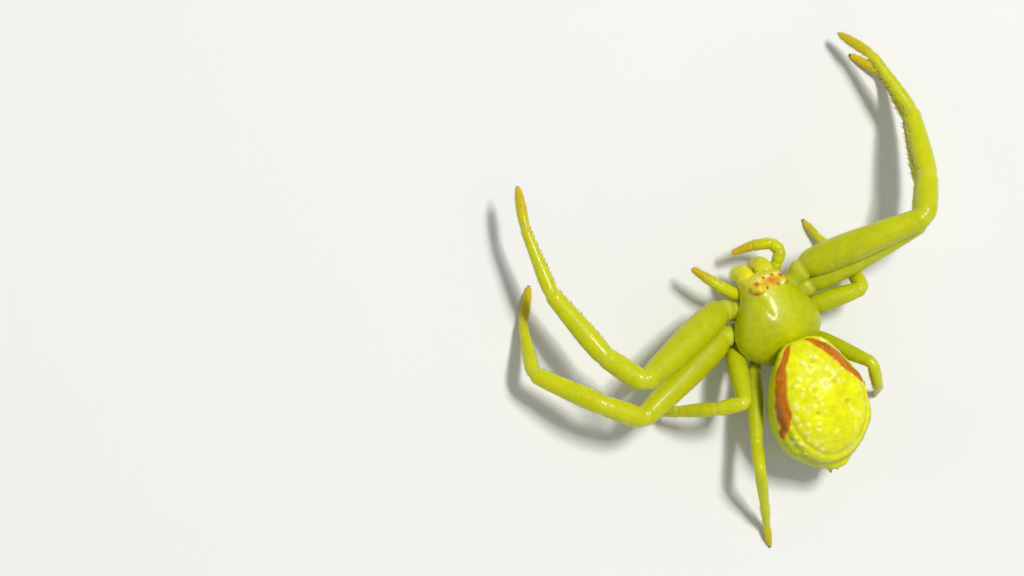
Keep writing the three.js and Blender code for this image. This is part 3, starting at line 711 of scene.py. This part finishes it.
def outward(rings):
    """Directions square to a surface of rings, away from their middles."""
    along = np.gradient(rings, axis=0)
    around = np.roll(rings, -1, axis=1) - np.roll(rings, 1, axis=1)
    normal = unit(np.cross(around, along))
    middle = rings.mean(axis=1, keepdims=True)
    return normal * np.sign(((rings - middle) * normal).sum(axis=-1, keepdims=True))


def add_dimples(rise, points):
    """Sinks the muscle pits into rise. Gives how deep in one each point lies, which is used to paint shade
    into the pits.
    """
    pit_shade = np.zeros_like(rise)
    for back, degrees in DIMPLES:
        pit = abdomen_point(np.array(back), np.array(math.radians(degrees)))
        away = np.linalg.norm(points - pit, axis=-1)
        rise -= 0.07 * np.exp(-(away / 0.1) ** 2)
        rise += 0.02 * np.exp(-((away - 0.2) / 0.08) ** 2)
        pit_shade = np.maximum(pit_shade, np.exp(-(away / 0.07) ** 2))
    return pit_shade


def add_knobs(rise, points):
    """Adds the back's small knobs to rise. Gives how pale they make each point: their own pale colour,
    whitened further as a painted highlight.
    """
    pale = np.zeros_like(rise)
    for _ in range(KNOBS):
        back, turn = rng.uniform(0.2, 4.6), rng.uniform(math.radians(15), math.radians(165))
        knob = abdomen_point(np.array(back), np.array(turn))
        size, height = rng.uniform(0.05, 0.11), rng.uniform(0.02, 0.055)
        bump = np.exp(-(np.linalg.norm(points - knob, axis=-1) / size) ** 2)
        rise += height * bump
        pale = np.maximum(pale, bump * rng.uniform(0.3, 1.0) ** 1.5)
    return pale


def orange_bands(x, y, s, points):
    """How much the two orange bands cover each point, and how dark they are there."""
    left = np.interp(y, [0.05, 0.12, 0.74, 1.42, 2.16, 2.88, 3.2], [54, 50, 32, 29, 29, 25, 15])
    right = np.interp(y, [0.1, 0.42, 0.82, 1.76, 2.46, 2.9], [68, 60, 50, 42, 22, 12])
    height = np.where(x > 0, left, right)
    width = np.interp(y, [0.0, 0.3, 1.0, 2.4, 3.0, 3.4], [9.5, 13, 14, 12.5, 8.5, 0.5])
    degrees = np.degrees(np.arcsin(np.clip(s, -1, 1)))
    ragged = 2.2 * wavy(points, 4.0, 21) + 1.4 * wavy(points, 11.0, 22)
    cover = step_up(1.2, 0.7, np.abs(degrees + ragged - height) / width)
    cover = cover * step_up(3.45, 3.2, y) * step_up(0.02, 0.1, y)
    blotched = np.maximum(step_up(1.2, 3.0, y), 0.7 * step_up(0.2, 0.9, wavy(points, 5.0, 23)))
    return cover, blotched * step_up(3, -5, degrees - height)


def build_abdomen():
    """The skin with its pits, knobs, folds and bands, with painted shade in the pits and fold troughs and a
    painted highlight on the knobs. Gives its points and outward directions.
    """
    t = np.linspace(0, 1, ABDOMEN_RINGS)
    back = ABDOMEN_SECTIONS[-1, 0] * (t - 0.055 * np.sin(4 * math.pi * t) / 2)
    turn = np.linspace(0, 2 * math.pi, ABDOMEN_SIDES, endpoint=False)
    back, a = np.meshgrid(back, turn, indexing="ij")
    s = np.sin(a)
    smooth = abdomen_point(back, a)
    x, y = smooth[..., 0], smooth[..., 1]
    normal = outward(smooth)

    rise = 0.028 * wavy(smooth, 3.4, 3) + 0.012 * wavy(smooth, 8.0, 4)
    pit_shade = add_dimples(rise, smooth)
    pale = add_knobs(rise, smooth)
    plan = np.sqrt((x / 2.05) ** 2 + ((y - 2.55) / np.where(y > 2.55, 2.6, 2.7)) ** 2)
    fold_area = step_up(0.7, 0.84, plan) * step_up(1.6, 3.0, y) * step_up(-0.75, -0.3, s)
    fold = np.sin(46 * plan + 0.9 * wavy(smooth, 1.6, 17))
    rise += 0.034 * fold_area * fold
    belly = smooth + normal * rise[..., None]

    colour = np.broadcast_to(BACK_YELLOW, belly.shape)
    # The knobs are pale, and are whitened further on top as a painted highlight.
    colour = mix(colour, BACK_PALE, 0.9 * pale * step_up(-0.15, 0.35, s))
    # Painted shade: the bottoms of the muscle pits are mixed towards dark green.
    colour = mix(colour, LEG_GREEN, 0.7 * pit_shade)
    flank = 0.9 * step_up(0.5, 0.1, s) + 0.6 * step_up(0.78, 1.0, plan) * step_up(2.8, 4.4, y)
    colour = mix(colour, FLANK_GREEN, np.clip(flank, 0, 1))
    colour = mix(colour, BELLY, step_up(-0.3, -0.7, s))
    # Painted shade: the troughs of the folds are darkened.
    colour = colour * (1 - 0.28 * fold_area * np.clip(-fold, 0, 1))[..., None]
    cover, dark = orange_bands(x, y, s, belly)
    band = mix(np.broadcast_to(BAND_ORANGE, belly.shape), BAND_DARK, 0.8 * dark)
    colour = mix(colour, band, 0.93 * cover)
    colour = colour * (1 + 0.05 * wavy(belly, 6.0, 8))[..., None]

    belly = place_abdomen(belly)
    colours = np.vstack([colour.reshape(-1, 3), colour[0, 0], colour[-1, 0]])
    piece = new_mesh("abdomen_skin", *closed_rings(belly), skin_abdomen, "abdomen", colours)
    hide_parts("abdomen")
    return belly, normal


belly, belly_normal = build_abdomen()


# Jaws, palps, mouthparts, breastplate, waist and spinnerets

def plain_paint(skin, base, end=None):
    """One colour, or one that turns into another towards the limb's end."""
    rings = skin["rings"]
    t = (skin["along"] / skin["along"][-1])[:, None] * np.ones(rings.shape[1])
    colour = np.broadcast_to(base, rings.shape)
    if end is not None:
        colour = mix(colour, end, step_up(0.45, 1.0, t))
    return colour * (1 + 0.06 * wavy(rings, 3.0, 41))[..., None]


def add_tube(name, skin, material, slot, colour, *nodes):
    colours = np.vstack([colour.reshape(-1, 3), colour[0, 0], colour[-1, 0]])
    piece = new_mesh(name, *closed_rings(skin["rings"]), material, slot, colours)
    if nodes:
        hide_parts(*nodes)


def build_jaw(side_name, side):
    """A stout lobe bent down in front of the face, with its fang folded inward."""
    jaw = tube([(side * 0.4 - 0.07, -1.55, 2.0), (side * 0.42 - 0.08, -2.02, 1.98),
                (side * 0.41 - 0.08, -2.16, 1.5), (side * 0.34 - 0.06, -2.12, 1.0)], JAW,
               step=0.03, flatten=0.95, soften=0.1)
    add_tube(f"chelicera_{side_name}_skin", jaw, skin_soft, "shell",
             plain_paint(jaw, 0.5 * (SHELL_PALE + FACE_YELLOW), FACE_YELLOW), f"chelicera_{side_name}")
    fang = tube([(side * 0.38 - 0.06, -2.12, 1.0), (side * 0.24 - 0.06, -2.16, 0.92),
                 (side * 0.03 - 0.06, -2.12, 0.98)], FANG,
                sides=16, step=0.02, reach=0.1, flatten=1.0, soften=0.02)
    new_mesh(f"fang_{side_name}", *closed_rings(fang["rings"]), claw_horn, "shell")


def build_palp(name, path):
    n = len(path) - 1
    shares, radii = zip(*PALP)
    tables = [[(u, float(np.interp((i + u) / n, shares, radii))) for u in (0, 0.5, 1)] for i in range(n)]
    palp = tube(path, tables, sides=32, step=0.03, reach=0.2, flatten=0.95, soften=0.08,
                necks=[0.1] * (n - 1), neck_width=0.06, lips=0.04)
    add_tube(f"{name}_skin", palp, skin_legs, "legs", plain_paint(palp, LEG_YELLOW, FOOT_ORANGE), name)
    return palp


def build_mouthparts():
    lip = tube([(-0.02, -1.02, 1.28), (-0.02, -1.42, 1.34)], [LIP], sides=28, step=0.03)
    add_tube("lip", lip, skin_soft, "shell", plain_paint(lip, SHELL_PALE), "mouthparts")
    for side_name, side in (("left", 1), ("right", -1)):
        path = [(side * 0.28, -1.02, 1.3), (side * 0.2, -1.66, 1.36)]
        lobe = tube(path, [MOUTH_LOBE], sides=28, step=0.03)
        add_tube(f"mouth_lobe_{side_name}", lobe, skin_soft, "shell", plain_paint(lobe, SHELL_PALE))


def build_sternum():
    """A heart-shaped shield between the coxae, pointed behind and domed below."""
    a = np.linspace(0, 2 * math.pi, STERNUM_SIDES, endpoint=False)
    plate = []
    for t in np.linspace(0, 1, STERNUM_RINGS):
        half = STERNUM_HALF * max(0.12, math.sin(math.pi * min(1, 0.2 + 0.8 * t)) ** 0.7)
        drop = (STERNUM_HIGH - STERNUM_LOW) * (0.6 + 0.4 * math.sin(math.pi * t))
        y = STERNUM_FRONT + (STERNUM_REAR - STERNUM_FRONT) * t
        z = STERNUM_HIGH - drop * 0.5 * (1 - np.sin(a))
        plate.append(np.stack([half * np.cos(a), np.full_like(a, y), z], axis=-1))
    points, faces = closed_rings(np.array(plate))
    colours = SHELL_PALE * (1 + 0.08 * wavy(points, 3.0, 51))[:, None]
    piece = new_mesh("sternum_skin", points, faces, skin_soft, "shell", colours)
    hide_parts("sternum")


def build_waist():
    waist = tube([(0, 1.2, 1.98), (0.06, 2.6, 2.1)], [WAIST], sides=32)
    add_tube("pedicel_skin", waist, skin_soft, "shell", plain_paint(waist, SHELL_PALE), "pedicel")


def build_spinnerets():
    tip_x = ABDOMEN_SHIFT_X + math.sin(ABDOMEN_TURN) * SPINNERETS_BACK
    tip_y = ABDOMEN_FRONT_Y + SPINNERETS_BACK * math.cos(ABDOMEN_TURN)
    for i, (dx, dz, length) in enumerate(SPINNERET_SPOTS):
        start = np.array((tip_x + dx * 0.9, tip_y, SPINNERETS_Z + dz))
        end = start + np.array((dx * 0.4, length, -0.16))
        cone = tube([start, end], [SPINNERET], sides=24, step=0.02, flatten=1.0, soften=0.04)
        colour = plain_paint(cone, BELLY, FOOT_ORANGE * 0.7)
        nodes = ["spinnerets"] if i == 0 else []
        add_tube(f"spinneret_{i + 1}", cone, skin_soft, "abdomen", colour, *nodes)


build_jaw("left", 1)
build_jaw("right", -1)
palp_skins = {name: build_palp(name, path) for name, path in PALPS}
build_mouthparts()
build_sternum()
build_waist()
build_spinnerets()


# Claws

def build_claws(leg):
    """Two small hooks side by side at a leg's end."""
    joints = leg_joints(leg)
    ahead = unit(joints[-1] - joints[-2])
    side_way = unit(np.cross(ahead, (0, 0, 1.0)))
    tables = [[(0, CLAW_RADIUS), (1, CLAW_RADIUS * 0.85)], [(0, CLAW_RADIUS * 0.85), (1, CLAW_RADIUS * 0.2)]]
    for side_name, side in (("outer", 1), ("inner", -1)):
        base = joints[-1] - 0.03 * ahead + side_way * side * CLAW_RADIUS
        bend = base + ahead * CLAW_LENGTH * 0.75 + np.array((0, 0, 0.03))
        point = bend + ahead * CLAW_LENGTH * 0.45 + np.array((0, 0, -0.07))
        claw = tube([base, bend, point], tables, sides=12, step=0.012, reach=0.07, flatten=1.0, soften=0.01)
        claw["rings"][..., 2] = np.maximum(claw["rings"][..., 2], CLAW_CLEAR)
        new_mesh(f"{leg['name']}_claw_{side_name}", *closed_rings(claw["rings"]), claw_horn, "feet")


for leg in LEGS:
    build_claws(leg)


# Spines and bristles

def bristles(name, roots, ways, bends, lengths, radii, spots, material, slot, sides=3, pieces=3):
    """Many tapered bristles as one mesh. spots holds each root's place on its skin's unwrap."""
    count = len(roots)
    t = np.linspace(0, 1, pieces + 1)
    line = (roots[:, None, :] + ways[:, None, :] * (lengths[:, None] * t)[..., None]
            + bends[:, None, :] * (lengths[:, None] * t ** 2)[..., None])
    helper = np.where(np.abs(ways[:, 2:3]) < 0.9, np.array([[0, 0, 1.0]]), np.array([[1.0, 0, 0]]))
    u = unit(np.cross(ways, helper))
    v = np.cross(ways, u)
    a = np.linspace(0, 2 * math.pi, sides, endpoint=False)
    around = np.cos(a)[None, :, None] * u[:, None, :] + np.sin(a)[None, :, None] * v[:, None, :]
    thick = radii[:, None] * (1 - t[None, :-1]) ** 0.75
    rings = line[:, :-1, None, :] + around[:, None, :, :] * thick[:, :, None, None]
    per = pieces * sides + 1
    points = np.concatenate([rings.reshape(count, -1, 3), line[:, -1:, :]], axis=1).reshape(-1, 3)
    points[:, 2] = np.maximum(points[:, 2], HAIR_CLEAR)
    one, corner_uv = [], []
    for p in range(pieces - 1):
        for k in range(sides):
            n = (k + 1) % sides
            one.append((p * sides + k, p * sides + n, (p + 1) * sides + n, (p + 1) * sides + k))
            corner_uv += [(k / sides, p / pieces), ((k + 1) / sides, p / pieces),
                          ((k + 1) / sides, (p + 1) / pieces), (k / sides, (p + 1) / pieces)]
    last = (pieces - 1) * sides
    for k in range(sides):
        n = (k + 1) % sides
        one.append((last + k, last + n, per - 1))
        corner_uv += [(k / sides, (pieces - 1) / pieces), ((k + 1) / sides, (pieces - 1) / pieces),
                      ((k + 0.5) / sides, 1.0)]
    faces = [tuple(i + h * per for i in f) for h in range(count) for f in one]
    uvs = (spots[:, None, :] + (np.array(corner_uv) - 0.5)[None, :, :] * HAIR_PATCH).reshape(-1, 2)
    return new_mesh(name, points, faces, material, slot, uvs=uvs)


def on_limb(skin, s, a):
    """Root points, outward and forward directions on a limb at length s and angle a."""
    i = np.clip(np.searchsorted(skin["along"], s), 1, len(skin["along"]) - 8)
    k = np.round(a / (2 * math.pi) * len(skin["angle"])).astype(int) % len(skin["angle"])
    return skin["rings"][i, k], skin["out"][i, k], skin["tangent"][i]


def limb_spots(skin, s, a, number, columns):
    """Places on the unwrap, where each limb has one cell of a square that is so many columns wide."""
    cell = 1 / columns
    corner = np.array((number % columns, number // columns)) * cell
    inside = np.stack([s / skin["along"][-1], a / (2 * math.pi)], axis=-1)
    return corner + inside * (0.92 * cell) + 0.04 * cell


def joined(limbs):
    """Roots, directions, bends, lengths, radii and unwrap places of several limbs, one after another."""
    return [np.concatenate(column) for column in zip(*limbs)]


def leg_hair(number, leg):
    """Short hairs all along a leg, closer together on its foot."""
    skin, count = leg_skins[leg["name"]], LEG_HAIRS[leg["pair"]]
    end = skin["start"][-1]
    s = rng.uniform(skin["start"][1] + 0.2, end - 0.02, count)
    s = np.concatenate([s, rng.uniform(skin["start"][4], end, count // 2)])
    a = rng.uniform(0, 2 * math.pi, len(s))
    root, out, ahead = on_limb(skin, s, a)
    way = unit(out * 0.75 + ahead * 0.75 + rng.normal(scale=0.12, size=root.shape))
    bend = unit(ahead * 0.9 - out * 0.2) * 0.35
    length = rng.uniform(0.07, 0.16, len(s)) * (1.0 if leg["pair"] < 3 else 0.8)
    radius = np.full(len(s), 0.0055)
    return root - out * 0.01, way, bend, length, radius, limb_spots(skin, s, a, number, 4)


def leg_stout_spines(number, leg):
    """Stout spines on the inner and under side of a front leg's shin and foot."""
    skin, places = leg_skins[leg["name"]], np.array(leg_spines[leg["name"]])
    s, a, length = places[:, 0], np.radians(places[:, 1]) % (2 * math.pi), places[:, 2]
    root, out, ahead = on_limb(skin, s, a)
    way = unit(out + ahead * 0.8)
    radius = 0.012 + 0.03 * length
    return root - out * 0.02, way, ahead * 0.25, length, radius, limb_spots(skin, s, a, number, 4)


def palp_hair(number, name):
    skin = palp_skins[name]
    s = rng.uniform(0.6, skin["start"][-1], PALP_HAIRS)
    a = rng.uniform(0, 2 * math.pi, PALP_HAIRS)
    root, out, ahead = on_limb(skin, s, a)
    way = unit(out * 0.7 + ahead * 0.8)
    length = rng.uniform(0.08, 0.17, PALP_HAIRS)
    radius = np.full(PALP_HAIRS, 0.0055)
    return root - out * 0.01, way, ahead * 0.3, length, radius, limb_spots(skin, s, a, number, 2)


def build_abdomen_hair():
    row = rng.integers(6, ABDOMEN_RINGS - 10, ABDOMEN_HAIRS)
    col = rng.integers(0, ABDOMEN_SIDES, ABDOMEN_HAIRS)
    root = belly[row, col]
    c, s = math.cos(-ABDOMEN_TURN), math.sin(-ABDOMEN_TURN)
    out = belly_normal[row, col] @ np.array(((c, s, 0), (-s, c, 0), (0, 0, 1.0)))
    rearward = np.broadcast_to(np.array((0.0, 1.0, 0.0)), root.shape)
    way = unit(out * 0.8 + rearward * 0.6 + rng.normal(scale=0.1, size=root.shape))
    length = rng.uniform(0.06, 0.13, ABDOMEN_HAIRS)
    spots = np.stack([row / ABDOMEN_RINGS, col / ABDOMEN_SIDES], axis=-1) * 0.96 + 0.02
    bristles("abdomen_bristles", root - out * 0.01, way, rearward * 0.3, length,
             np.full(ABDOMEN_HAIRS, 0.005), spots, bristle_pale, "abdomen")


def build_face_hair():
    roots, ways, spots = [], [], []
    for _ in range(FACE_HAIRS):
        x, y = rng.uniform(-0.85, 0.85), rng.uniform(-1.82, -1.15)
        x = x * float(curve(CARAPACE_SECTIONS, 1, np.array(y)))
        z = float(shell_height(np.array(x), np.array(y)) + shell_detail(np.array(x), np.array(y)))
        roots.append(pose_head((x, y, z - 0.01)))
        ways.append((x * 0.25, -0.75, 0.7))
        spots.append((0.5 + x / 4, 0.5 + y / 4))
    bends = np.tile((0, -0.25, -0.1), (FACE_HAIRS, 1))
    length = rng.uniform(0.08, 0.2, FACE_HAIRS)
    bristles("face_bristles", np.array(roots), unit(np.array(ways)), bends, length,
             np.full(FACE_HAIRS, 0.006), np.array(spots), bristle_pale, "shell")


front_legs = [leg for leg in LEGS if leg["pair"] < 3]
bristles("leg_bristles", *joined([leg_hair(number, leg) for number, leg in enumerate(LEGS)]),
         bristle_pale, "legs")
bristles("leg_spines", *joined([leg_stout_spines(number, leg) for number, leg in enumerate(front_legs)]),
         bristle_dark, "legs", sides=6, pieces=4)
build_abdomen_hair()
build_face_hair()
bristles("palp_bristles", *joined([palp_hair(number, name) for number, (name, _) in enumerate(PALPS)]),
         bristle_pale, "legs")


# Camera

LENS = 150.0
SENSOR_WIDTH = 36
SCALE = 0.0386                      # millimetres of spider to one pixel of the picture
VIEW_LEAN = math.radians(17)        # how far the view leans to the spider's left
VIEW_ROLL = math.radians(25)        # how far the body's axis is turned in the picture
ANCHOR = np.array((0.0, 0.0, 2.4))  # the middle of the carapace
ANCHOR_PIXEL = (777, 318)
FRAME_WIDTH, FRAME_HEIGHT = 1024, 576

toward = np.array((math.sin(VIEW_LEAN), 0.0, math.cos(VIEW_LEAN)))
ahead = unit(np.array((0, -1.0, 0)) - np.dot((0, -1.0, 0), toward) * toward)
right = np.cross(ahead, toward)
picture_x = -math.sin(VIEW_ROLL) * ahead + math.cos(VIEW_ROLL) * right
picture_y = math.cos(VIEW_ROLL) * ahead + math.sin(VIEW_ROLL) * right
focal = LENS / SENSOR_WIDTH * FRAME_WIDTH
distance = focal * SCALE
u = (ANCHOR_PIXEL[0] - FRAME_WIDTH / 2) / focal
v = (FRAME_HEIGHT / 2 - ANCHOR_PIXEL[1]) / focal
eye = ANCHOR + toward * distance - picture_x * u * distance - picture_y * v * distance

camera_data = bpy.data.cameras.new("camera")
camera_data.lens = LENS
camera_data.clip_start = 0.002
camera_data.clip_end = 10
camera = bpy.data.objects.new("camera", camera_data)
bpy.context.scene.collection.objects.link(camera)
pose = Matrix((
    (picture_x[0], picture_y[0], toward[0], 0),
    (picture_x[1], picture_y[1], toward[1], 0),
    (picture_x[2], picture_y[2], toward[2], 0),
    (0, 0, 0, 1),
))
pose.translation = Vector((eye + SHIFT) * MM)
camera.matrix_world = pose
bpy.context.scene.camera = camera


# Lights

def area_light(name, way, far, size, power_watts, colour):
    data = bpy.data.lights.new(name, "AREA")
    data.shape = "DISK"
    data.size = size
    data.energy = power_watts
    data.color = colour
    lamp = bpy.data.objects.new(name, data)
    bpy.context.scene.collection.objects.link(lamp)
    way = Vector(way).normalized()
    lamp.location = Vector(SHIFT * MM) + way * far
    lamp.rotation_euler = way.to_track_quat("Z", "Y").to_euler()


area_light("key", toward + picture_y * 0.42 + picture_x * 0.5, 0.3, 0.06, 0.53, (1.0, 0.99, 0.95))
area_light("glint", toward + picture_y * 0.26 + picture_x * 0.5, 0.3, 0.02, 0.18, (1.0, 1.0, 0.98))
area_light("fill", toward * 0.6 - picture_x + picture_y * 0.2, 0.35, 0.25, 0.13, (0.95, 0.98, 1.0))
area_light("rim", -picture_y + toward * 0.5 + picture_x * 0.6, 0.35, 0.2, 0.1, (1.0, 1.0, 1.0))

world = bpy.data.worlds.new("studio")
world.use_nodes = True
world.node_tree.nodes["Background"].inputs["Color"].default_value = (0.93, 0.95, 1.0, 1)
world.node_tree.nodes["Background"].inputs["Strength"].default_value = 0.34
bpy.context.scene.world = world
bpy.context.scene.view_settings.view_transform = "Standard"


# Floor

FLOOR_SIZE = 1.2                    # metres

bpy.ops.mesh.primitive_plane_add(size=FLOOR_SIZE)
floor = bpy.context.active_object
floor.name = "floor"
floor_paint = bpy.data.materials.new("floor_paint")
floor_paint.use_nodes = True
floor_shader = floor_paint.node_tree.nodes["Principled BSDF"]
floor_shader.inputs["Base Color"].default_value = (0.80, 0.80, 0.78, 1)
floor_shader.inputs["Roughness"].default_value = 0.8
floor.data.materials.append(floor_paint)
